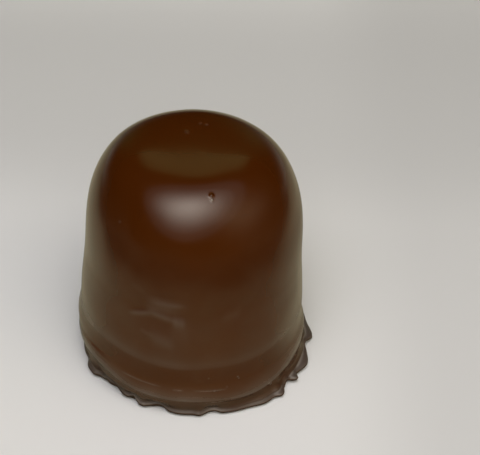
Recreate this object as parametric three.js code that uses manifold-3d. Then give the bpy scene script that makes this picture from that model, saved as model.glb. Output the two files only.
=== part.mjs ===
// A chocolate teacake: a tall whipped dome on a round wafer, dipped in dark chocolate.
// Millimetres, +Z up. The origin is the centre of the wafer's underside, which the teacake stands on.
// The dip ran down the dome, gathered in two soft ridges and set in a ragged foot round the wafer.

import * as THREE from "three";
import { mergeVertices } from "three/addons/utils/BufferGeometryUtils.js";
import Module from "manifold-3d";

const HEIGHT = 59.5; // from the table to the flat crown
const SHOULDER_RADIUS = 25.5; // at the narrowest part of the wall
const SHOULDER_HEIGHT = 31; // where the wall starts to round over into the crown
const CROWN_SQUARENESS = 2.74; // of the outline seen in height: 2 is an ellipse, more is a flatter crown
const SHOULDER_SQUARENESS = 4.18; // of the outline seen in radius: more is a fuller shoulder
const SWAY = 0.5; // the filling was piped a little off centre: how far the shoulder bulges towards +X
const SWAY_HEIGHT = 38;
const SWAY_SPREAD = 14; // in height
const TOP_CREASE = -3.4; // the flat top bends along this line in Y, and slopes down in front of it
const TOP_FRONT_LEAN = 0.05; // how far it drops for each millimetre in front of the line

// The wall's outline from the foot up to the shoulder.
const WALL = [
  { radius: 27.52, height: 3.6 }, // the skirt under the lower ridge
  { radius: 27.82, height: 5.0 },
  { radius: 27.9, height: 5.7 }, // the lower ridge, over the wafer's top edge
  { radius: 27.66, height: 7.2 },
  { radius: 27.25, height: 9.1 },
  { radius: 27.0, height: 11.4 }, // the hollow between the ridges
  { radius: 26.92, height: 14.4 },
  { radius: 26.88, height: 16.2 }, // the upper ridge, where the dip hangs over the filling's base
  { radius: 26.66, height: 19.8 },
  { radius: 26.4, height: 22.6 },
  { radius: 25.98, height: 26.6 },
  { radius: SHOULDER_RADIUS, height: SHOULDER_HEIGHT },
];

// How the ridges climb and fall round the wall, and where the wall swells. at is in degrees round
// the wall and height up it; half and spread are how far each reaches round and up.
const CLIMBS = [
  { at: 212, half: 24, height: 6.5, spread: 3.5, amount: 1.5 },
  { at: 305, half: 20, height: 5.5, spread: 3, amount: -1.2 },
  { at: 350, half: 18, height: 6.5, spread: 3.5, amount: 1.4 },
  { at: 205, half: 36, height: 16, spread: 6, amount: 2.5 },
];
const SWELLS = [
  { at: 188, half: 26, height: 11.5, spread: 3.4, amount: 0.95 },
  { at: 192, half: 34, height: 25, spread: 10, amount: 0.45 },
];

const WAFER_RADIUS = 24.7;
const WAFER_THICKNESS = 3.2;
const WAFER_GAP = 0.3; // clearance between the wafer and its seat in the coating
const WAFFLE_PITCH = 5;
const WAFFLE_RIB = 1.3;
const WAFFLE_DEPTH = 0.7;
const WAFFLE_TAPER = 0.75; // width of a pocket's floor over the width of its mouth
const WAFFLE_MARGIN = 1.2; // plain rim left round the pockets

const FOOT_FLAT = 1.2; // width of the ring of chocolate that stands on the table
const LIP_REACH = 0.8; // how far the foot's thin lip stands out past that ring
const LIP_CLEAR = 0.6; // from the table to the underside of the lip's edge
const LIP_THICKNESS = 0.6;
const LIP_ROUNDING = 0.3;
const UNDERCUT = 0.75; // the ring on the table stays at least this far inside the lip's edge
const TOE_INSET = 0.5; // from the lip's edge in to the toe, where the skirt starts to climb
const TOE_HEIGHT = 1.6;
const SKIRT_HEIGHT = 2.5; // halfway from the toe to the skirt's top
const SKIRT_SAG = 0.1; // how far the skirt is hollowed there
const SKIRT_FLARE = 0.42; // how much the skirt's top follows a wide foot
const WIDE_FOOT = 28; // the foot counts as wide where its toe is past this radius
const FOOT_RUN = 2.2; // how much further the foot spread on the side where the dip ran off
const FOOT_RUN_TOWARDS = 335; // degrees from +X, counter-clockwise seen from above

// The ragged foot, lobe by lobe. at is in degrees round the foot; before and after are how far a
// lobe reaches on its two sides; square makes its outline squarer; out is how far it sticks out,
// lift how high its edge stands off the table, and thin the share of it that is only a flange.
const LOBES = [
  { at: 1, before: 2.8, after: 9, square: 2, out: 1.35, lift: 0.3, thin: 1 },
  { at: 18, before: 8, after: 9, square: 2, out: 0.9, lift: 0.2, thin: 1 },
  { at: 44, before: 6, after: 6, square: 2, out: -0.2, lift: 0.7, thin: 0 },
  { at: 61, before: 7, after: 6, square: 2, out: 1.1, lift: 0.2, thin: 0.6 },
  { at: 83, before: 5, after: 5, square: 2, out: 0.7, lift: 0.6, thin: 0 },
  { at: 104, before: 8, after: 9, square: 2, out: 1, lift: 0.1, thin: 0.7 },
  { at: 127, before: 6, after: 5, square: 2, out: -0.1, lift: 0.8, thin: 0 },
  { at: 146, before: 5, after: 7, square: 2, out: 1.1, lift: 0.3, thin: 0.5 },
  { at: 167, before: 8, after: 7, square: 2, out: 0.8, lift: 0.5, thin: 0 },
  { at: 189, before: 9, after: 9, square: 2, out: 0.4, lift: 0.2, thin: 0 },
  { at: 212.5, before: 6, after: 4.1, square: 4, out: 1.4, lift: 0.25, thin: 0.5 },
  { at: 223, before: 2.2, after: 2.2, square: 2, out: 0, lift: 0.7, thin: 0 },
  { at: 229, before: 4, after: 4.2, square: 2, out: -0.7, lift: 0.2, thin: 0 },
  { at: 235.5, before: 2, after: 2, square: 2, out: 0.25, lift: 0.3, thin: 0 },
  { at: 241, before: 2, after: 2.2, square: 2, out: -0.35, lift: 0.7, thin: 0 },
  { at: 247, before: 2.8, after: 2.6, square: 3, out: 0.6, lift: 0.1, thin: 0 },
  { at: 256, before: 4.5, after: 3.8, square: 2.5, out: -0.95, lift: 0.35, thin: 0 },
  { at: 267, before: 5, after: 5, square: 2, out: 0.3, lift: 0, thin: 0 },
  { at: 276, before: 2.5, after: 2, square: 2, out: 0.5, lift: 0.1, thin: 0 },
  { at: 283, before: 3.7, after: 3.2, square: 3, out: -0.75, lift: 0.1, thin: 0 },
  { at: 294, before: 5, after: 6, square: 2, out: 0.2, lift: 0, thin: 0 },
  { at: 310, before: 8, after: 8, square: 2, out: 0.75, lift: 0, thin: 0.3 },
  { at: 318.3, before: 2.8, after: 3, square: 2.5, out: 1.25, lift: 0.15, thin: 0.5 },
  { at: 326, before: 2.2, after: 1.8, square: 3, out: -0.3, lift: 0.7, thin: 0 },
  { at: 329.7, before: 1.7, after: 2.2, square: 3, out: 0.8, lift: 0.4, thin: 1 },
  { at: 340.5, before: 5.5, after: 7, square: 2, out: 1.4, lift: 0.2, thin: 1 },
  { at: 354, before: 3.6, after: 3, square: 2.5, out: -0.5, lift: 0.5, thin: 0 },
];

const AROUND = 136; // columns of the coating
const FRONT_CROWDING = 0.25; // the columns are this much closer together at the front
const CROWN_ROWS = 12;

const rad = THREE.MathUtils.degToRad;

// 1 in the middle, falling away smoothly to 0.
function hump(away, square = 2) {
  return Math.exp(-(Math.abs(away) ** square));
}

// How far an angle is from another one, in degrees, the short way round.
function turned(angle, at) {
  return THREE.MathUtils.euclideanModulo(angle - at + 180, 360) - 180;
}

// Sum of some local changes to the wall at an angle and a height.
function changes(list, angle, height) {
  const share = (one) => hump(turned(angle, one.at) / one.half) * hump((height - one.height) / one.spread);
  return list.reduce((sum, one) => sum + one.amount * share(one), 0);
}

// The foot at an angle: the radii of its edge and its toe, and how far its edge stands off the table.
function footAt(angle) {
  const share = 0.5 + 0.5 * Math.cos(rad(turned(angle, FOOT_RUN_TOWARDS)));
  const even = WAFER_RADIUS + WAFER_GAP + FOOT_FLAT + LIP_REACH + FOOT_RUN * share ** 3;
  const foot = { edge: even, toe: even, lift: 0 };
  for (const lobe of LOBES) {
    const away = turned(angle, lobe.at);
    const bulge = hump(away / (away < 0 ? lobe.before : lobe.after), lobe.square);
    foot.edge += lobe.out * bulge;
    foot.toe += lobe.out * (1 - lobe.thin) * bulge;
    foot.lift += lobe.lift * bulge;
  }
  foot.toe = Math.min(foot.toe, foot.edge) - TOE_INSET;
  return foot;
}

// The crown: a superellipse from above the shoulder to the axis.
function crownOutline() {
  return Array.from({ length: CROWN_ROWS }, (_, i) => {
    const turn = ((i + 1) / CROWN_ROWS) * (Math.PI / 2);
    const radius = i === CROWN_ROWS - 1 ? 0 : SHOULDER_RADIUS * Math.cos(turn) ** (2 / SHOULDER_SQUARENESS);
    const height = SHOULDER_HEIGHT + (HEIGHT - SHOULDER_HEIGHT) * Math.sin(turn) ** (2 / CROWN_SQUARENESS);
    return { radius, height };
  });
}

// The coating's half outline at an angle, from the middle of the wafer's seat round the foot to the
// crown.
function coatingOutline(angle) {
  const seat = WAFER_RADIUS + WAFER_GAP;
  const ceiling = WAFER_THICKNESS + WAFER_GAP;
  const { edge, toe, lift } = footAt(angle);
  const [waist, ...wall] = WALL;
  const waistRadius = waist.radius + SKIRT_FLARE * Math.max(0, toe - WIDE_FOOT);
  const underside = [
    { radius: 0, height: ceiling },
    { radius: seat, height: ceiling },
    { radius: seat, height: 0 },
    { radius: Math.min(seat + FOOT_FLAT, edge - UNDERCUT), height: 0 },
  ];
  const lip = [
    { radius: edge - LIP_ROUNDING, height: LIP_CLEAR + lift },
    { radius: edge, height: LIP_CLEAR + LIP_THICKNESS / 2 + lift },
    { radius: edge - LIP_ROUNDING / 2, height: LIP_CLEAR + LIP_THICKNESS + lift },
  ];
  const skirt = [
    { radius: toe, height: TOE_HEIGHT + lift },
    { radius: (toe + waistRadius) / 2 - SKIRT_SAG, height: SKIRT_HEIGHT + lift / 2 },
    { radius: waistRadius, height: waist.height },
  ];
  return [...underside, ...lip, ...skirt, ...wall, ...crownOutline()];
}

// A point of the coating: a point of its outline, turned to its place and moved by the ridges'
// climbs, the swells, the sway and the slope of the crown.
function coatingPoint({ radius, height }, turn, angle) {
  const onWall = height >= WALL[0].height;
  const out = radius + (onWall ? changes(SWELLS, angle, height) : 0);
  const climbed = height + (onWall ? changes(CLIMBS, angle, height) : 0);
  const sway = SWAY * hump((climbed - SWAY_HEIGHT) / SWAY_SPREAD);
  const y = out * Math.sin(turn);
  const high = Math.max(0, (climbed - SHOULDER_HEIGHT) / (HEIGHT - SHOULDER_HEIGHT)) ** 2;
  const drop = high * TOP_FRONT_LEAN * Math.max(0, TOP_CREASE - y);
  return new THREE.Vector3(out * Math.cos(turn) + sway, y, climbed - drop);
}

// The dipped dome in one piece with its filling, and a shallow seat underneath for the wafer.
function coatedDome() {
  const rings = coatingOutline(0).length;
  const blank = Array.from({ length: rings }, () => new THREE.Vector2(1, 0));
  const geometry = new THREE.LatheGeometry(blank, AROUND);
  const position = geometry.getAttribute("position");
  for (let column = 0; column <= AROUND; column++) {
    const even = (2 * Math.PI * (column % AROUND)) / AROUND;
    const turn = even - Math.PI / 2 - FRONT_CROWDING * Math.sin(even);
    const angle = THREE.MathUtils.radToDeg(turn);
    coatingOutline(angle).forEach((place, ring) => {
      const { x, y, z } = coatingPoint(place, turn, angle);
      position.setXYZ(column * rings + ring, x, y, z);
    });
  }
  return geometry;
}

const wasm = await Module();
wasm.setup();

// A closed geometry as a manifold-3d solid, and back again.
function solidOf(geometry) {
  const bare = geometry.clone().deleteAttribute("normal").deleteAttribute("uv");
  const merged = mergeVertices(bare, 1e-4);
  return new wasm.Manifold(
    new wasm.Mesh({
      numProp: 3,
      vertProperties: merged.getAttribute("position").array,
      triVerts: new Uint32Array(merged.index.array),
    }),
  );
}

function geometryOf(solid) {
  const mesh = solid.getMesh();
  return new THREE.BufferGeometry()
    .setAttribute("position", new THREE.BufferAttribute(mesh.vertProperties, 3))
    .setIndex(new THREE.BufferAttribute(mesh.triVerts, 1));
}

// The wafer: a thin disc whose underside carries the baking iron's square pockets.
function wafer() {
  const disc = new THREE.CylinderGeometry(WAFER_RADIUS, WAFER_RADIUS, WAFER_THICKNESS, 96)
    .rotateX(Math.PI / 2)
    .translate(0, 0, WAFER_THICKNESS / 2);
  const mouth = WAFFLE_PITCH - WAFFLE_RIB;
  const corner = Math.SQRT1_2; // from a square's side to its corner, as a four-sided cone is measured
  const overcut = 0.2; // the cutter reaches this far below the disc, so that the pocket opens cleanly
  const slope = (mouth * (1 - WAFFLE_TAPER)) / WAFFLE_DEPTH;
  const cutter = new THREE.CylinderGeometry(
    mouth * WAFFLE_TAPER * corner,
    (mouth + slope * overcut) * corner,
    WAFFLE_DEPTH + overcut,
    4,
  )
    .rotateY(Math.PI / 4)
    .rotateX(Math.PI / 2)
    .translate(0, 0, (WAFFLE_DEPTH - overcut) / 2);
  const reach = Math.ceil(WAFER_RADIUS / WAFFLE_PITCH);
  let solid = solidOf(disc);
  for (let i = -reach; i < reach; i++) {
    for (let j = -reach; j < reach; j++) {
      const x = (i + 0.5) * WAFFLE_PITCH;
      const y = (j + 0.5) * WAFFLE_PITCH;
      const far = Math.hypot(Math.abs(x) + mouth / 2, Math.abs(y) + mouth / 2);
      if (far > WAFER_RADIUS - WAFFLE_MARGIN) continue;
      solid = solid.subtract(solidOf(cutter.clone().translate(x, y, 0)));
    }
  }
  return geometryOf(solid);
}

function named(name, geometry, material) {
  const mesh = new THREE.Mesh(geometry, material);
  mesh.name = name;
  return mesh;
}

const chocolate = new THREE.MeshStandardMaterial({ color: 0x46291a, roughness: 0.35, metalness: 0 });
const bakedWafer = new THREE.MeshStandardMaterial({ color: 0xd9c98e, roughness: 0.85, metalness: 0 });

const teacake = new THREE.Group();
teacake.add(named("coated_dome", coatedDome(), chocolate));
teacake.add(named("wafer", wafer(), bakedWafer));

export default teacake;
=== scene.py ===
# A chocolate teacake: a whipped dome dipped in dark chocolate, on a round waffled wafer.
# Blender's units are metres, with +Z up and the origin in the middle of the wafer's underside.
# The sizes below are in millimetres, and MM turns them into metres where a mesh is made.
# Angles round the teacake are in degrees, from +X towards +Y, so that its front is at 270.

import math

import bmesh
import bpy
import numpy as np
from mathutils import Matrix, Quaternion, Vector, noise


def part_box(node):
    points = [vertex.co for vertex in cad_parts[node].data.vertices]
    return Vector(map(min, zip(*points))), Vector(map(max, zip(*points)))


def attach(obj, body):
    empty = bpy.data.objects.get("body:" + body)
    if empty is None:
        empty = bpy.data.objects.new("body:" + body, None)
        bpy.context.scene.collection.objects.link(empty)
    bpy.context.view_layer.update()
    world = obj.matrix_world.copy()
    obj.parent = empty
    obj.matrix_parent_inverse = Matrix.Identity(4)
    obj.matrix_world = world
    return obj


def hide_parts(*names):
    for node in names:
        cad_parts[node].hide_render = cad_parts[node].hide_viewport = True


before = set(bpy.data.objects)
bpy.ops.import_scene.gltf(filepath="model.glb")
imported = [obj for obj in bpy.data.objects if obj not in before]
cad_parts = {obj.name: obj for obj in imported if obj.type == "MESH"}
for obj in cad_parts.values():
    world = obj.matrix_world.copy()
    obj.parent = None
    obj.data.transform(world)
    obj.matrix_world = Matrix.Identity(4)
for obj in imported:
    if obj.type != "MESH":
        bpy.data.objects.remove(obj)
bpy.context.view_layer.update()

MM = 0.001
coat_low, coat_high = (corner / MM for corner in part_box("coated_dome"))
wafer_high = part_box("wafer")[1] / MM


# ---- Sizes -------------------------------------------------------------------------------------

HEIGHT = coat_high.z
SHOULDER_RADIUS = 25.5
SHOULDER_HEIGHT = 31.0
SHOULDER_EASE = 0.2  # how much wider the shoulder is where the wall meets it,
SHOULDER_EASE_HEIGHT = 7.0  # and the rise in which the crown loses most of that
CROWN_SQUARENESS = 2.74
SHOULDER_SQUARENESS = 4.18
CROWN_RINGS = 50
CROWN_CROWDING = 1.15  # above 1 the crown's rings stand closer together by the shoulder

# The wall from the skirt at the foot up to the shoulder: radius, height, how many rings the stretch
# to the next point has, and how pale it is painted there, a painted sheen where the ridges catch
# the
# light: 0 not at all, 1 pale, 2 palest.
WALL = [
    (27.52, 3.6, 3, 0.15),
    (27.66, 4.4, 4, 0.2),
    (27.82, 5.0, 3, 0.4),
    (27.90, 5.5, 3, 1.1),
    (27.84, 6.3, 4, 0.60),
    (27.66, 7.2, 5, 0.32),
    (27.38, 8.4, 5, 0.12),
    (27.14, 9.7, 5, 0.0),
    (27.00, 11.4, 5, 0.0),
    (26.94, 13.2, 4, 0.0),
    (26.92, 14.4, 4, 0.04),
    (26.91, 15.2, 4, 0.30),
    (26.88, 16.2, 5, 0.34),
    (26.80, 17.8, 6, 0.15),
    (26.66, 19.8, 6, 0.07),
    (26.40, 22.6, 8, 0.07),
    (26.00, 26.6, 4, 0.08),
    (25.83, 28.9, 4, 0.05),
    (SHOULDER_RADIUS + SHOULDER_EASE, SHOULDER_HEIGHT, 1, 0.0),
]
SKIRT_TOE = 28.0  # a toe wider than this takes the lowest points of the wall out with it,
SKIRT_FLARE = (0.42, 0.22, 0.08)  # by these shares of what is past it

# How the ridges climb and fall round the wall, and where the wall swells: the angle and the height
# of the middle, how far it reaches in degrees and in height, and by how much.
CLIMBS = [
    (214, 6.5, 24, 3.2, 2.6),
    (305, 5.5, 20, 3.0, -1.2),
    (350, 6.5, 18, 3.5, 1.4),
    (230, 16.0, 20, 6.0, 1.1),
]
SWELLS = [
    (188, 11.5, 26, 3.4, 0.95),
    (192, 25.0, 34, 10.0, 0.45),
]

# Where the painted sheen on the wall is stronger or weaker, as painted reflection at its sides: the
# angle, how far that reaches in degrees, and by how much. Below FOOT_TOP the foot has places of its
# own.
FOOT_TOP = 4.4
PAINTED_SHEEN = [(196, 20, 1.8), (285, 14, -0.4), (341, 22, 1.05)]
PAINTED_SHEEN_FOOT = [(242, 28, 1.0), (284, 6, 0.9)]

# How each ridge strays: its height, how far above and below it, by how much, and a seed.
WANDERS = [(6.8, 2.2, 0.22, 3.0), (15.8, 3.0, 0.4, 7.0)]
WANDER_TURNS = 2.2  # the higher, the more often they stray on their way round

# The coating's slow and quick unevenness: how long the waves are, how high, and where they start.
UNEVEN = [(17.0, 0.12, (0, 0, 0)), (6.0, 0.035, (9, 2, 5))]
UNEVEN_START = 1.5  # there is none below this height,
UNEVEN_RISE = 5.0  # and all of it from this much higher
SHEEN_AND_BLOOM_PATCH = 6.0  # how big the patches are in which the painted sheen and bloom are stronger or weaker,
SHEEN_AND_BLOOM_PATCHINESS = 0.45  # and by how much

SWAY = 0.43  # how far the dome leans to +X at mid height
SWAY_HEIGHT = 38.0
SWAY_SPREAD = 14.0
CROWN_SWAY = -0.3  # and how far the crown leans the other way,
CROWN_SWAY_START = 54.0  # from this height
CROWN_SWAY_RISE = 3.5
TOP_CREASE = -3.6  # the flat top bends along this line and leans down in front of it
TOP_CREASE_SOFTNESS = 0.6
TOP_FRONT_LEAN = 0.05
TOP_BACK_START = 2.0  # and it leans down a little behind this line
TOP_BACK_SOFTNESS = 1.0
TOP_BACK_LEAN = 0.01

WAFER_RADIUS = wafer_high.x
WAFER_THICKNESS = wafer_high.z
SEAT_GAP = 0.3  # between the wafer and the coating round it
SEAT_WRAP = 0.75  # how far the chocolate closes in under the wafer's rim,
SEAT_WRAP_WAVE = 0.3  # more in some places than in others
FOOT_FLAT = 1.2
LIP_REACH = 0.75
LIP_CLEAR = 0.6
LIP_THICKNESS = 0.6
TOE_INSET = 0.5
FLANGE_START = 0.55  # past this distance from its toe to its tip a lobe is a thin flange,
FLANGE_RUN = 0.8  # and fully one this much further
FOOT_RUN = 2.2  # the chocolate ran out furthest on one side
FOOT_RUN_TOWARDS = 335.0

# The ragged foot: where each lobe or nick is, how wide it is on either side, all in degrees round
# the foot, how square its outline is, how far it sticks out, how high its edge lifts off the
# table, and how much of it is only a thin flange.
LOBES = [
    (359, 3.2, 9.5, 2, 1.4, 0.3, 1.0),
    (18, 8, 9, 2, 0.9, 0.2, 1.0),
    (44, 6, 6, 2, -0.2, 0.7, 0.0),
    (61, 7, 6, 2, 1.1, 0.2, 0.6),
    (83, 5, 5, 2, 0.7, 0.6, 0.0),
    (104, 8, 9, 2, 1.0, 0.1, 0.7),
    (127, 6, 5, 2, -0.1, 0.8, 0.0),
    (146, 5, 7, 2, 1.1, 0.3, 0.5),
    (167, 8, 7, 2, 0.8, 0.5, 0.0),
    (197, 9, 8, 2, 0.45, 0.2, 0.0),
    (212.5, 7.5, 4.1, 4, 1.4, 0.25, 0.2),
    (223, 2.2, 2.2, 2, 0.0, 0.7, 0.0),
    (229, 4, 4.2, 2, -0.7, 0.2, 0.0),
    (235.5, 2, 2, 2, 0.25, 0.3, 0.0),
    (241, 2, 2.2, 2, -0.35, 0.7, 0.0),
    (247, 2.8, 2.6, 3, 0.6, 0.1, 0.0),
    (256, 4.5, 3.8, 2.5, -0.95, 0.35, 0.0),
    (267, 5, 5, 2, 0.3, 0.0, 0.0),
    (276, 2.5, 2, 2, 0.5, 0.1, 0.0),
    (283, 3.7, 3.2, 3, -0.75, 0.1, 0.0),
    (294, 5, 6, 2, 0.2, 0.0, 0.0),
    (310, 8, 8, 2, 1.05, 0.0, 0.3),
    (318.3, 2.8, 3.0, 2.5, 1.35, 0.15, 0.5),
    (325.5, 2.0, 1.8, 3, -0.2, 0.7, 0.0),
    (329.7, 1.9, 2.2, 3, 1.4, 0.4, 1.0),
    (340.5, 5.5, 7.0, 2, 1.4, 0.2, 1.0),
    (354, 3.6, 3, 2.5, -0.5, 0.5, 0.0),
]

# The wafer's underside: square pockets, each half as wide as this at its mouth and on its floor.
WAFFLE_PITCH = 5.0
POCKET_MOUTH = 1.85
POCKET_FLOOR = 1.25
WAFFLE_DEPTH = 0.7
WAFFLE_MARGIN = 1.2  # the plain rim round them
WAFER_GRAIN = 0.05  # how uneven the baked underside is,
WAFER_GRAIN_SCALE = 0.9  # and how finely
WAFER_GRAIN_SEED = 3.0
RIM_BEVEL = 1.5
# The wafer's rim from the underside to the top: how far in from the edge, and the height.
RIM = [
    (0.95, 0.58),
    (0.3, 0.75),
    (0.0, 1.1),
    (0.0, 2.4),
    (0.1, 2.9),
    (0.4, WAFER_THICKNESS),
    (WAFER_RADIUS / 2, WAFER_THICKNESS),
]
WAFER_RINGS = 96
WAFER_AROUND = 480

# Shallow ripples on the front, where the coating set as it ran: angle and height of the middle,
# half its length in degrees, half its width, how much it climbs in a degree, and how high it is.
RIPPLES = [
    (258.5, 33.9, 8.6, 0.9, -0.03, 0.12),
    (255.5, 31.9, 7.5, 1.5, 0.0, 0.08),
    (244.5, 29.3, 5.8, 0.7, 0.17, 0.13),
    (256.5, 29.9, 6.4, 0.8, -0.09, 0.12),
    (265.2, 28.9, 3.0, 1.5, -0.10, 0.12),
    (266, 26.0, 5.0, 4.0, 0.0, 0.03),
    (257, 22.9, 6.0, 1.9, -0.12, 0.08),
    (248.5, 24.1, 3.5, 0.7, -0.10, 0.05),
    (243, 36.4, 4.0, 0.8, -0.10, 0.03),
    (292, 30.0, 5.0, 1.4, 0.10, 0.04),
]
RIPPLE_SHEEN_AND_BLOOM = 3.6  # how pale a ripple is painted, as bloom and painted sheen, for each millimetre that it stands out

# Hairlines over the foot's ridge: from one angle to another, the heights there, and how high.
HAIRLINES = [
    (236, 256, 9.3, 8.7, 0.05),
    (263, 268, 8.3, 8.3, 0.05),
    (274, 289, 8.3, 7.8, 0.05),
]
HAIRLINE_WIDTH = 0.2
HAIRLINE_PALENESS = 12.0

# Small marks: a point by the surface, the size, how far they stand out of it or, below 0, go into
# it, and how pale they are painted: pale specks, and on the bubble's lower edge a painted
# highlight.
MARKS = [
    (4.7, -15.7, 57.8, 0.46, 0.34, 0.0),  # a burst bubble by the top, and its lower edge
    # the lower edge's paleness is a painted highlight
    (4.8, -16.6, 57.6, 0.30, 0.14, 2.4),
    (-1.9, 5.0, 59.4, 0.6, -0.12, 0.12),
    (1.2, 8.8, 59.2, 0.5, -0.10, 0.15),
    (2.6, 8.2, 59.2, 0.45, -0.08, 0.2),
    (-17.0, -18.5, 51.6, 0.35, 0.08, 0.25),
    (12.1, -24.9, 10.7, 0.22, 0.08, 0.8),
    (12.2, -24.8, 10.2, 0.20, 0.08, 0.8),
    (5.2, -26.9, 12.0, 0.20, 0.06, 0.5),
    (9.4, -25.8, 8.4, 0.25, 0.10, 0.4),
    (6.5, -26.6, 7.9, 0.25, 0.09, 0.4),
    (19.6, -20.7, 4.6, 0.30, 0.14, 0.9),
    (20.4, -20.4, 3.8, 0.32, 0.14, 0.9),
]

MARK_SEARCH = 6.0  # how far from its point a mark looks for the surface
MARK_REACH = 3.0  # how far a mark spreads, in its own sizes
MARK_CUTS = 3  # how many times the mesh's edges are cut there

AROUND = 480  # columns of the coating
COLUMN_CROWDING = 0.25  # above 0 they stand closer together at the front


# ---- Shapes ------------------------------------------------------------------------------------


def hump(away, sharpness=2.0):
    """1 in the middle, falling away smoothly to 0."""
    return np.exp(-np.abs(away) ** sharpness)


def past(value, softness):
    """How far a value is past 0, with a soft start."""
    return softness * np.logaddexp(0, value / softness)


def turned(angle, at):
    """How far an angle is from another one, in degrees, the short way round."""
    return (angle - at + 180) % 360 - 180


def patch(angle, heights, at, height, width, spread):
    """1 in the middle of a patch of the wall, falling away smoothly to 0."""
    return hump(turned(angle, at) / width) * hump((heights - height) / spread)


def foot_edge(angle):
    """The foot's tip and toe radii and the lift of its edge, at angles in degrees."""
    share = 0.5 + 0.5 * np.cos(np.radians(angle - FOOT_RUN_TOWARDS))
    tip = WAFER_RADIUS + SEAT_GAP + FOOT_FLAT + LIP_REACH + FOOT_RUN * share**3
    toe = tip.copy()
    lift = np.zeros_like(angle)
    for at, before, after, squareness, out, up, thin in LOBES:
        away = turned(angle, at)
        bulge = hump(away / np.where(away < 0, before, after), squareness)
        tip += out * bulge
        toe += out * (1 - thin) * bulge
        lift += up * bulge
    return tip, np.minimum(toe, tip) - TOE_INSET, lift


def smooth_through(points, angle):
    """Rings of radius, height and painted light on a smooth curve, nearly upright at its last
    point.
    """
    places = [np.stack([radius + 0 * angle, height + 0 * angle]) for radius, height, _, _ in points]
    above = places[-1] + np.stack([0 * angle - 0.1, 3 + 0 * angle])
    places = [2 * places[0] - places[1], *places, above]
    rings = []
    for index, (point, after) in enumerate(zip(points, points[1:])):
        a, b, c, d = places[index : index + 4]
        ab, bc, cd = (np.sqrt(np.hypot(*(end - start))) for start, end in ((a, b), (b, c), (c, d)))
        leave = ((b - a) / ab - (c - a) / (ab + bc) + (c - b) / bc) * bc
        arrive = ((c - b) / bc - (d - b) / (bc + cd) + (d - c) / cd) * bc
        for s in np.arange(point[2]) / point[2]:
            place = (
                (2 * s**3 - 3 * s**2 + 1) * b
                + (s**3 - 2 * s**2 + s) * leave
                + (3 * s**2 - 2 * s**3) * c
                + (s**3 - s**2) * arrive
            )
            rings.append(np.stack([*place, (1 - s) * point[3] + s * after[3] + 0 * angle]))
    return rings


def crown_ring(turn):
    """Radius and height of the crown's outline, from 0 at the shoulder to pi / 2 on the axis."""
    radius = SHOULDER_RADIUS * max(math.cos(turn), 0.0) ** (2 / SHOULDER_SQUARENESS)
    rise = (HEIGHT - SHOULDER_HEIGHT) * math.sin(turn) ** (2 / CROWN_SQUARENESS)
    return radius + SHOULDER_EASE * math.exp(-rise / SHOULDER_EASE_HEIGHT), SHOULDER_HEIGHT + rise


def coat_rings(angle):
    """The coating's rings, from the wafer's seat round the foot to the crown."""
    seat = WAFER_RADIUS + SEAT_GAP
    ceiling = WAFER_THICKNESS + SEAT_GAP
    tip, toe, lift = foot_edge(angle)
    flat = np.minimum(seat + FOOT_FLAT, tip - LIP_REACH)
    wide = np.maximum(toe - SKIRT_TOE, 0)
    skirt = [(r + share * wide, h, n, b) for (r, h, n, b), share in zip(WALL, SKIRT_FLARE)]
    waist = skirt[0][0]
    flange = np.clip((tip - toe - FLANGE_START) / FLANGE_RUN, 0, 1)
    top = LIP_CLEAR + LIP_THICKNESS
    wave = np.sin(np.radians(angle * 5 + 40)) * np.cos(np.radians(angle * 2))
    wrap = SEAT_WRAP + SEAT_WRAP_WAVE * wave
    under = [
        (0.5, ceiling),
        (seat / 2, ceiling),
        (seat, ceiling),
        (seat, 0.5),
        (seat - wrap + 0.1, 0.42),
        (seat - wrap, 0.25),
        (seat - wrap + 0.15, 0.08),
        (seat - 0.2, 0.0),
    ]
    foot = [
        (flat, 0.0, 2, 0.0),
        (flat + 0.2, 0.1 + 0.6 * lift, 2, 0.0),
        # The last column is painted light: below 0 painted shade under the lip's edge, above it
        # painted sheen on the edge's top and the flange.
        (tip - 0.3, LIP_CLEAR + lift, 3, -1.0),
        (tip - 0.04, LIP_CLEAR + 0.08 + lift, 2, -1.0),
        (tip, LIP_CLEAR + 0.3 + lift, 2, -0.2 + 0.2 * flange),
        (tip - 0.14, top + lift, 2, 0.65 + 0.3 * flange),
        (0.4 * tip + 0.6 * toe, top + 0.2 + lift, 2, 0.6 + 0.25 * flange),
        (toe + 0.04, 1.6 + lift, 3, 0.45 + 1.35 * flange),
        (toe - 0.12, 1.9 + 0.8 * lift, 4, 0.3 + 0.1 * flange),
        (0.6 * toe + 0.4 * waist - 0.12, 2.35 + 0.5 * lift, 4, 0.15),
        (0.2 * toe + 0.8 * waist - 0.06, 2.95 + 0.2 * lift, 4, 0.15),
    ]
    shares = np.linspace(0, 1, CROWN_RINGS, endpoint=False) ** CROWN_CROWDING
    crown = [crown_ring(share * math.pi / 2) for share in shares]
    under, crown = (
        [np.stack([r + 0 * angle, h + 0 * angle, 0 * angle]) for r, h in outline]
        for outline in (under, crown)
    )
    rings = under + smooth_through(foot + skirt + WALL[len(skirt) :], angle) + crown
    return np.moveaxis(np.array(rings), 1, 0)


def relief(angle, heights):
    """How far ripples and hairlines stand out of the wall, and how pale they are painted."""
    out = np.zeros_like(heights)
    painted_light_and_bloom = np.zeros_like(heights)
    for at, height, half_length, half_width, climb, rise in RIPPLES:
        along = turned(angle, at)
        shape = hump(along / half_length, 4) * hump((heights - height - climb * along) / half_width)
        out += rise * shape
        painted_light_and_bloom += RIPPLE_SHEEN_AND_BLOOM * rise * shape
    for start, end, low, high, rise in HAIRLINES:
        share = (angle - start) / (end - start)
        path = low + (high - low) * share
        shape = hump((share - 0.5) / 0.5, 6) * hump((heights - path) / HAIRLINE_WIDTH)
        out += rise * shape
        painted_light_and_bloom += HAIRLINE_PALENESS * rise * shape
    return out, painted_light_and_bloom


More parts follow.
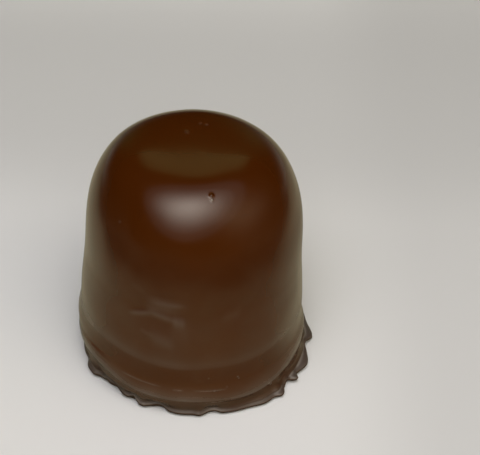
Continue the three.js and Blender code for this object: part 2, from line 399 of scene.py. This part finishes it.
def strayed(turn, angle, radii, heights):
    """The rings with their ridges climbing, falling and straying, and with the wall's swells."""
    free = (radii > WAFER_RADIUS + 2 * SEAT_GAP) | (heights > WAFER_THICKNESS + 1)
    loose = free * np.clip(heights, 0, 1)
    for at, height, width, spread, climb in CLIMBS:
        heights = heights + loose * climb * patch(angle, heights, at, height, width, spread)
    for at, height, width, spread, out in SWELLS:
        radii = radii + free * out * patch(angle, heights, at, height, width, spread)
    for height, spread, stray, seed in WANDERS:
        round_it = [(WANDER_TURNS * math.cos(t), WANDER_TURNS * math.sin(t), seed) for t in turn]
        wave = np.array([noise.noise(Vector(spot)) for spot in round_it])
        heights = heights + free * stray * hump((heights - height) / spread) * wave
    return radii, heights


def facing(turn, radii, heights):
    """The way that the rings' surface faces at each of their points."""
    out = np.gradient(radii, axis=0)
    up = np.gradient(heights, axis=0)
    way = np.stack([up * np.cos(turn), up * np.sin(turn), -out], axis=-1)
    return way / (np.hypot(out, up)[..., None] + 1e-9)


def coat_points():
    """The coating's points in millimetres, ring by ring, and their painted light and bloom."""
    turn = np.arange(AROUND) * 2 * np.pi / AROUND
    turn = turn - COLUMN_CROWDING * np.cos(turn)
    angle = np.degrees(turn) % 360
    radii, heights, painted_light_and_bloom = coat_rings(angle)
    radii, heights = strayed(turn, angle, radii, heights)
    sway = SWAY * hump((heights - SWAY_HEIGHT) / SWAY_SPREAD)
    sway += CROWN_SWAY * np.clip((heights - CROWN_SWAY_START) / CROWN_SWAY_RISE, 0, 1)
    points = np.stack([radii * np.cos(turn) + sway, radii * np.sin(turn), heights], axis=-1)

    wall, foot = (
        1 + sum(more * hump(turned(angle, at) / width) for at, width, more in places)
        for places in (PAINTED_SHEEN, PAINTED_SHEEN_FOOT)
    )
    painted_light_and_bloom = painted_light_and_bloom * np.where(heights > FOOT_TOP, wall, foot)
    swell, streaks = relief(angle, heights)
    clear = np.clip((heights - UNEVEN_START) / UNEVEN_RISE, 0, 1)
    for index in np.ndindex(heights.shape):
        spot = Vector(points[index])
        for length, height, start in UNEVEN:
            swell[index] += clear[index] * height * noise.noise(spot / length + Vector(start))
        if painted_light_and_bloom[index] > 0:
            painted_light_and_bloom[index] *= 1.0 + SHEEN_AND_BLOOM_PATCHINESS * noise.noise(spot / SHEEN_AND_BLOOM_PATCH)
    points += facing(turn, radii, heights) * swell[..., None]

    high = np.clip((heights - SHOULDER_HEIGHT) / (HEIGHT - SHOULDER_HEIGHT), 0, 1) ** 2
    y = points[..., 1]
    fall = TOP_FRONT_LEAN * past(TOP_CREASE - y, TOP_CREASE_SOFTNESS)
    fall += TOP_BACK_LEAN * past(y - TOP_BACK_START, TOP_BACK_SOFTNESS)
    points[..., 2] -= fall * high
    return points, painted_light_and_bloom + streaks


def closed_mesh(points, painted_light_and_bloom, bottom, top):
    """A closed bmesh of rings of points with a point at each end, its faces pointing out.

    It keeps each point's painted light and bloom.
    """
    made = bmesh.new()
    pale = made.verts.layers.float.new("painted_light_and_bloom")
    rings = [[made.verts.new(Vector(p) * MM) for p in ring] for ring in points]
    for ring, values in zip(rings, painted_light_and_bloom):
        for vert, value in zip(ring, values):
            vert[pale] = value
    low = made.verts.new(Vector(bottom) * MM)
    high = made.verts.new(Vector(top) * MM)
    columns = len(rings[0])
    for column in range(columns):
        after = (column + 1) % columns
        made.faces.new((low, rings[0][after], rings[0][column]))
        made.faces.new((rings[-1][column], rings[-1][after], high))
        for ring, above in zip(rings, rings[1:]):
            made.faces.new((ring[column], ring[after], above[after], above[column]))
    for face in made.faces:
        face.smooth = True
    made.normal_update()
    return made


def add_mark(made, x, y, z, size, rise, sheen_and_bloom):
    """A small bump or pit: the mesh is made finer round it, and then pushed out or in."""
    pale = made.verts.layers.float["painted_light_and_bloom"]
    place = Vector((x, y, z)) * MM
    near = [v for v in made.verts if (v.co - place).length < MARK_SEARCH * MM]
    spot = min(near, key=lambda v: (v.co - place).length).co.copy()
    close = [v for v in near if (v.co - spot).length < MARK_REACH * size * MM]
    edges = list(dict.fromkeys(e for v in close for e in v.link_edges))
    bmesh.ops.subdivide_edges(made, edges=edges, cuts=MARK_CUTS, use_grid_fill=True)
    made.normal_update()
    for v in made.verts:
        far = (v.co - spot).length / MM
        if far < MARK_REACH * size:
            share = math.exp(-((far / size) ** 2))
            v.co += v.normal * rise * MM * share
            v[pale] += sheen_and_bloom * share


def piece(name, made, material, node):
    """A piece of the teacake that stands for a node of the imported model."""
    mesh = bpy.data.meshes.new(name)
    made.to_mesh(mesh)
    made.free()
    mesh.materials.append(material)
    thing = bpy.data.objects.new(name, mesh)
    bpy.context.scene.collection.objects.link(thing)
    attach(thing, "root")
    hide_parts(node)
    return thing


# ---- Materials ---------------------------------------------------------------------------------


class Wire:
    """A node's output that sums can be written with; each step of a sum adds a Math node."""

    def __init__(self, paint, socket):
        self.paint = paint
        self.socket = socket

    def math(self, operation, *values):
        return self.paint.node("ShaderNodeMath", {"operation": operation}, dict(enumerate(values)))

    def __add__(self, other):
        return self.math("ADD", self, other)

    __radd__ = __add__

    def __sub__(self, other):
        return self.math("SUBTRACT", self, other)

    def __rsub__(self, other):
        return self.math("SUBTRACT", other, self)

    def __mul__(self, other):
        return self.math("MULTIPLY", self, other)

    __rmul__ = __mul__

    def __pow__(self, other):
        return self.math("POWER", self, other)

    def clamped(self):
        return self.math("MINIMUM", self.math("MAXIMUM", self, 0.0), 1.0)


class Paint:
    """One material and the nodes that make it."""

    def __init__(self, name):
        self.material = bpy.data.materials.new(name)
        self.material.use_nodes = True
        self.tree = self.material.node_tree
        self.tree.nodes.clear()

    def node(self, kind, settings=None, sockets=None, output=0):
        """Adds a node: its settings first, then its sockets' values or links."""
        made = self.tree.nodes.new(kind)
        for name, value in (settings or {}).items():
            setattr(made, name, value)
        for name, value in (sockets or {}).items():
            if isinstance(value, Wire):
                self.tree.links.new(value.socket, made.inputs[name])
            else:
                made.inputs[name].default_value = value
        return Wire(self, made.outputs[output]) if made.outputs else None

    def spot(self):
        """Where a point of the piece is, in millimetres."""
        sockets = {0: self.node("ShaderNodeTexCoord", output="Object"), "Scale": 1 / MM}
        return self.node("ShaderNodeVectorMath", {"operation": "SCALE"}, sockets)

    def along(self, spot, axis):
        """How far a point is along the X, Y or Z axis."""
        return self.node("ShaderNodeSeparateXYZ", None, {"Vector": spot}, axis)

    def noise(self, spot, scale, detail=2.0, roughness=0.5, distortion=0.0):
        sockets = {
            "Vector": spot,
            "Scale": scale,
            "Detail": detail,
            "Roughness": roughness,
            "Distortion": distortion,
        }
        return self.node("ShaderNodeTexNoise", None, sockets)

    def blend(self, share, low, high):
        """A colour between two colours."""
        sockets = {"Factor": share, 6: low, 7: high}
        return self.node("ShaderNodeMix", {"data_type": "RGBA"}, sockets, output=2)

    def ramp(self, value, start, end):
        """0 up to the start, 1 past the end, and smooth between; the end may be the lower one."""
        settings = {"interpolation_type": "SMOOTHSTEP"}
        sockets = {"Value": value, "From Min": start, "From Max": end}
        return self.node("ShaderNodeMapRange", settings, sockets)

    def finish(self, base, roughness, grain=None, depth=0.0, **constants):
        """The finished material, its grain standing out by a depth in millimetres."""
        sockets = {"Base Color": base, "Roughness": roughness}
        if grain is not None:
            bump = {"Strength": 1.0, "Distance": depth * MM, "Height": grain}
            sockets["Normal"] = self.node("ShaderNodeBump", None, bump)
        sockets.update({name.replace("_", " "): value for name, value in constants.items()})
        shader = self.node("ShaderNodeBsdfPrincipled", None, sockets)
        self.node("ShaderNodeOutputMaterial", None, {"Surface": shader})
        return self.material


def dipped_chocolate():
    """Dark chocolate, with painted sheen and some bloom where it is paler, and painted shade where
    it is darker.
    """
    coat = (0.050, 0.0113, 0.0007, 1), (0.061, 0.0145, 0.0011, 1)
    cloudy = (0.072, 0.032, 0.012, 1)
    # Painted shade on the crown, and the colours of the painted sheen with some bloom and of the
    # painted shade under the lip.
    crown_painted_shade = (0.045, 0.0098, 0.0005, 1)
    foot_coat = (0.041, 0.015, 0.0035, 1)
    sheen_and_bloom = (0.106, 0.071, 0.044, 1)
    foot_sheen_and_bloom = (0.080, 0.060, 0.041, 1)
    palest = (0.20, 0.165, 0.115, 1)
    lip_shade = (0.010, 0.005, 0.002, 1)
    shine = (1.0, 0.92, 0.65, 1)

    paint = Paint("dipped_chocolate")
    spot = paint.spot()
    mottle = paint.noise(spot, 0.09, detail=3, distortion=0.6)
    film = paint.ramp(paint.noise(spot, 0.11, detail=3, distortion=0.4), 0.35, 0.8)
    grain = paint.noise(spot, 2.2, detail=3)
    height = paint.along(spot, "Z")
    crown = paint.ramp(height, 46, 57)
    foot = paint.ramp(height, 5.0, 1.8)
    painted_light_and_bloom = paint.node("ShaderNodeAttribute", {"attribute_name": "painted_light_and_bloom"}, output="Fac")
    pale = painted_light_and_bloom.clamped()

    colour = paint.blend(mottle, *coat)
    colour = paint.blend(film * 0.25, colour, cloudy)
    # Painted shade: the crown is darker towards its top.
    colour = paint.blend(crown, colour, crown_painted_shade)
    colour = paint.blend(foot, colour, foot_coat)
    # Painted sheen where ridges, edges and rims catch the light, paler still where the value passes
    # 1; on the ripples it is partly real bloom.
    colour = paint.blend(pale, colour, paint.blend(foot, sheen_and_bloom, foot_sheen_and_bloom))
    colour = paint.blend((painted_light_and_bloom - 1).clamped(), colour, palest)
    # Painted shade under the lip's edge, where the value is below 0.
    colour = paint.blend((0 - painted_light_and_bloom).clamped(), colour, lip_shade)
    roughness = 0.18 - 0.05 * crown + 0.03 * film + 0.03 * grain + 0.12 * pale
    return paint.finish(colour, roughness, grain, 0.003, IOR=1.48, Specular_Tint=shine)


def baked_wafer():
    """A pale wafer, browner in patches, with fine paler pores."""
    baked, browned, inside = (0.52, 0.44, 0.24, 1), (0.44, 0.33, 0.15, 1), (0.62, 0.56, 0.36, 1)
    paint = Paint("baked_wafer")
    spot = paint.spot()
    toast = paint.ramp(paint.noise(spot, 0.12, detail=4), 0.35, 0.7)
    pores = paint.noise(spot, 1.6, detail=5, roughness=0.65)
    colour = paint.blend(toast, baked, browned)
    colour = paint.blend(paint.ramp(pores, 0.5, 0.72), colour, inside)
    return paint.finish(colour, 0.85 - 0.1 * toast, pores, 0.12, IOR=1.45)


# ---- The pieces --------------------------------------------------------------------------------


def dipped_dome():
    points, painted_light_and_bloom = coat_points()
    inside = np.clip(points, coat_low, coat_high)
    made = closed_mesh(inside, painted_light_and_bloom, (0, 0, WAFER_THICKNESS + SEAT_GAP), (0, 0, HEIGHT))
    for mark in MARKS:
        add_mark(made, *mark)
    return piece("dipped_dome", made, dipped_chocolate(), "coated_dome")


def pocket(value):
    """Across a row of pockets in the waffle: 0 on the ribs, 1 on the floors, rounded between."""
    away = np.abs((value / WAFFLE_PITCH) % 1 - 0.5) * WAFFLE_PITCH
    share = np.clip((POCKET_MOUTH - away) / (POCKET_MOUTH - POCKET_FLOOR), 0, 1)
    return share * share * (3 - 2 * share)


def waffled_wafer():
    """The wafer: its top is plain, its rim bevelled, and its underside has the iron's pockets."""
    turn = np.arange(WAFER_AROUND) * 2 * np.pi / WAFER_AROUND
    radii = np.linspace(0, WAFER_RADIUS - RIM_BEVEL, WAFER_RINGS + 1)[1:, None]
    x, y = radii * np.cos(turn), radii * np.sin(turn)
    cell_x, cell_y = (np.abs((np.floor(v / WAFFLE_PITCH) + 0.5) * WAFFLE_PITCH) for v in (x, y))
    whole = np.hypot(cell_x + POCKET_MOUTH, cell_y + POCKET_MOUTH) < WAFER_RADIUS - WAFFLE_MARGIN
    depth = WAFFLE_DEPTH * pocket(x) * pocket(y) * whole
    for index in np.ndindex(depth.shape):
        spot = Vector((x[index], y[index], WAFER_GRAIN_SEED))
        depth[index] += WAFER_GRAIN + WAFER_GRAIN * noise.noise(spot * WAFER_GRAIN_SCALE)
    under = np.stack([x, y, depth], axis=-1)
    rim = [(WAFER_RADIUS - inset, height) for inset, height in RIM]
    rest = [np.stack([r * np.cos(turn), r * np.sin(turn), z + 0 * turn], axis=-1) for r, z in rim]
    points = np.concatenate([under, np.array(rest)])
    middle, top = (0, 0, depth[0].mean()), (0, 0, WAFER_THICKNESS)
    made = closed_mesh(points, np.zeros(points.shape[:2]), middle, top)
    return piece("waffled_wafer", made, baked_wafer(), "wafer")


dipped_dome()
waffled_wafer()


# ---- Table -------------------------------------------------------------------------------------

# The table is two sheets, one close over the other. The lower one is what shows and what lights the
# teacake, and the upper one is only what the chocolate mirrors. Each has its own tone, and dimmer
# ones that are shares of it, for painted shade. Places on them are in millimetres from the
# teacake's middle.
TABLE_TONE = (0.705, 0.69, 0.56)
SHEEN_TONE = (0.555, 0.51, 0.295)
RIGHT_SHARE = 0.74
BEHIND_SHARE = 0.84
NEAR_SHARE = 0.45
FAR_SHARE = 0.07
SHEET_ROUGHNESS = 0.85
SHEET_IOR = 1.4
SHEET_SIDES = 96

TABLE_SHADE_BAND = 108  # the middle of the band of painted shade behind the teacake,
TABLE_SHADE_BAND_SPREAD = 4200  # and the square of how far it reaches from there
TABLE_RIGHT = (30, 65)  # where the table has painted shade to the right,
TABLE_RIGHT_DEPTH = 0.5  # and by how much of the way to its dimmer tone

# The sheen fades with the distance, which counts for less behind the teacake, and for more aside
# and in front: from where on, or how softly that starts, and then by how much.
SHEEN_FADE = (38, 135)
SHEEN_BEHIND = (30, 0.73)
SHEEN_ASIDE = (10, -20, 0.35)
SHEEN_AHEAD = (-30, -70, 0.25)
SHEEN_RIGHT = (15, 50)  # where the patch of painted shade to the right starts,
SHEEN_RIGHT_INNER = (44, 54)  # and how far it lies from the middle
SHEEN_RIGHT_OUTER = (110, 80)
SHEEN_SHADE = (33, 60)  # how far the teacake's own shade reaches from the middle,
SHEEN_SHADE_PULL = (-22, 0, 16)  # from where on it reaches less far to the back, and by how much


def dimmed(tone, share=1.0):
    """A share of a tone, as a colour."""
    return tuple(share * part for part in tone) + (1,)


def pale_table():
    """The table, with painted shade: a little dimmer in a band behind the teacake, and to its
    right.
    """
    paint = Paint("pale_table")
    spot = paint.spot()
    x, y = (paint.along(spot, axis) for axis in "XY")
    off_band = y - TABLE_SHADE_BAND
    shade_band = paint.ramp(off_band * off_band, TABLE_SHADE_BAND_SPREAD, 0)
    right = TABLE_RIGHT_DEPTH * paint.ramp(x, *TABLE_RIGHT)
    colour = paint.blend(shade_band, dimmed(TABLE_TONE), dimmed(TABLE_TONE, BEHIND_SHARE))
    colour = paint.blend(right, colour, dimmed(TABLE_TONE, RIGHT_SHARE))
    return paint.finish(colour, SHEET_ROUGHNESS, IOR=SHEET_IOR)


def table_sheen():
    """The mirrored table has painted shade: a dimmer patch to the right, and the teacake's own
    shade.

    It fades out with the distance, late behind the teacake, and early at the sides and in front.
    """
    softness, less_behind = SHEEN_BEHIND
    *aside_places, more_aside = SHEEN_ASIDE
    *ahead_places, more_ahead = SHEEN_AHEAD
    *pull_places, pull = SHEEN_SHADE_PULL

    paint = Paint("table_sheen")
    spot = paint.spot()
    x, y = (paint.along(spot, axis) for axis in "XY")
    reach = (x * x + y * y) ** 0.5
    behind = y + (y * y + softness**2) ** 0.5
    aside = (x * x) ** 0.5 * paint.ramp(y, *aside_places)
    ahead = 0 - y * paint.ramp(y, *ahead_places)
    away = reach - less_behind * behind + more_aside * aside + more_ahead * ahead
    patch = paint.ramp(reach, *SHEEN_RIGHT_INNER) * paint.ramp(reach, *SHEEN_RIGHT_OUTER)
    right = paint.ramp(x, *SHEEN_RIGHT) * patch
    lit = paint.ramp(reach + pull * paint.ramp(y, *pull_places), *SHEEN_SHADE)
    colour = paint.blend(right, dimmed(SHEEN_TONE), dimmed(SHEEN_TONE, RIGHT_SHARE))
    colour = paint.blend(lit, dimmed(SHEEN_TONE, NEAR_SHARE), colour)
    colour = paint.blend(paint.ramp(away, *SHEEN_FADE), colour, dimmed(SHEEN_TONE, FAR_SHARE))
    return paint.finish(colour, SHEET_ROUGHNESS, IOR=SHEET_IOR)


def sheet(name, reach, behind, height, material, unseen_by):
    """A flat sheet under the teacake: its reach, and how much more it has behind, in metres.

    Its height is in millimetres, and some kinds of light ray don't see it.
    """
    mesh = bpy.data.meshes.new(name)
    turns = [math.tau * side / SHEET_SIDES for side in range(SHEET_SIDES)]
    radii = [reach + behind * max(0.0, math.sin(turn)) ** 2 for turn in turns]
    edge = [(r * math.cos(turn), r * math.sin(turn), 0) for r, turn in zip(radii, turns)]
    mesh.from_pydata(edge, [], [range(SHEET_SIDES)])
    mesh.materials.append(material)
    made = bpy.data.objects.new(name, mesh)
    bpy.context.scene.collection.objects.link(made)
    made.location.z = height * MM
    for ray in unseen_by:
        setattr(made, "visible_" + ray, False)


sheet("table", 3.0, 0.0, -0.04, pale_table(), ["glossy"])
sheen_unseen_by = ["camera", "diffuse", "shadow", "transmission"]
sheet("table_sheen", 0.3, 0.5, -0.02, table_sheen(), sheen_unseen_by)


# ---- Lights ------------------------------------------------------------------------------------

LAMP_TARGET = Vector((0, 0, 0.03))  # what the lamps' directions are counted from
LAMP_STAGGER = 0.015  # how far apart lamps stand that overlap, one behind another
SOFT_STEPS = (0.0, 0.25, 0.45, 0.65, 0.85, 1.05, 1.25, 1.5, 1.9)


def lamp(name, azimuth, elevation, wide, high, radiance, tint, distance, roll=0.0, shape="ELLIPSE"):
    """A lamp seen from the teacake: its direction, and half its width and height, in degrees.

    The azimuth is counted from straight behind towards the right, and the distance is in metres.
    """
    data = bpy.data.lights.new(name, "AREA")
    data.shape = shape
    data.size = 2 * distance * math.tan(math.radians(wide))
    data.size_y = 2 * distance * math.tan(math.radians(high))
    area = data.size * data.size_y * (math.pi / 4 if shape == "ELLIPSE" else 1)
    data.energy = radiance * math.pi * area
    data.color = tint
    made = bpy.data.objects.new(name, data)
    bpy.context.scene.collection.objects.link(made)
    turn, rise = math.radians(azimuth), math.radians(elevation)
    level = math.cos(rise)
    away = Vector((math.sin(turn) * level, math.cos(turn) * level, math.sin(rise)))
    made.location = away * distance + LAMP_TARGET
    rolled = Quaternion((0, 0, 1), math.radians(roll))
    made.rotation_euler = (away.to_track_quat("Z", "Y") @ rolled).to_euler()
    return made


def soft_lamp(name, azimuth, elevation, wide, high, peak, tint, distance, roll=0.0, slide=(0, 0)):
    """A lamp that fades outwards like a bell curve: ovals that grow, one behind another.

    The bigger ones may slide away, by degrees of azimuth and of elevation.
    """
    middles = [(start + end) / 2 for start, end in zip(SOFT_STEPS, SOFT_STEPS[1:])]
    fades = [peak * math.exp(-(middle**2)) for middle in middles] + [0.0]
    for index, reach in enumerate(SOFT_STEPS[1:]):
        lamp(
            f"{name}_{index}",
            azimuth + slide[0] * reach,
            elevation + slide[1] * reach,
            wide * reach,
            high * reach,
            fades[index] - fades[index + 1],
            tint,
            distance + LAMP_STAGGER * index,
            roll,
        )


soft_lamp("key", 191, 71, 21, 28, 5.4, (1, 1, 1.25), 0.6, roll=-18, slide=(-5, -4.5))
room_fill = lamp("room_fill", 150, 50, 30, 25, 0.8, (1, 0.97, 0.9), 2.0)
room_fill.visible_glossy = False
soft_lamp("side_glow", 118, 36, 25, 27, 0.68, (1, 0.85, 0.75), 0.78)
for index, grown in enumerate((0.84, 1.0, 1.16)):
    lamp(
        f"crown_card_{index}",
        0.5,
        48.6,
        15.5 * grown,
        7.4 * grown,
        0.134,
        (0.82, 0.98, 0.46),
        0.9 + LAMP_STAGGER * index,
        shape="RECTANGLE",
    )
soft_lamp("crown_glow_left", 335, 18, 8, 14, 0.08, (0.3, 1, 0.4), 1.1)
soft_lamp("crown_glow_right", 17, 20, 10, 15, 0.10, (0.6, 1, 0.45), 1.1)
soft_lamp("back_card_left", -40, -5, 21, 12, 0.46, (1, 1, 0.88), 1.0)
soft_lamp("back_card_right", 40, -5, 21, 12, 0.46, (1, 1, 0.88), 1.0)

world = bpy.data.worlds.new("dim_room")
world.use_nodes = True
world.node_tree.nodes["Background"].inputs["Color"].default_value = (0.012, 0.008, 0.003, 1)
bpy.context.scene.world = world
bpy.context.scene.view_settings.view_transform = "Standard"


# ---- Camera ------------------------------------------------------------------------------------

CAMERA_PLACE = Vector((0.01109, -0.25332, 0.24837))
CAMERA_DOWN = math.radians(40)
CAMERA_ROLL = 0.035

camera_data = bpy.data.cameras.new("camera")
camera_data.lens = 105
camera_data.sensor_width = 36
camera = bpy.data.objects.new("camera", camera_data)
bpy.context.scene.collection.objects.link(camera)
camera.location = CAMERA_PLACE
looking = Matrix.Rotation(math.pi / 2 - CAMERA_DOWN, 3, "X")
camera.rotation_euler = (looking @ Matrix.Rotation(CAMERA_ROLL, 3, "Z")).to_euler()
bpy.context.scene.camera = camera
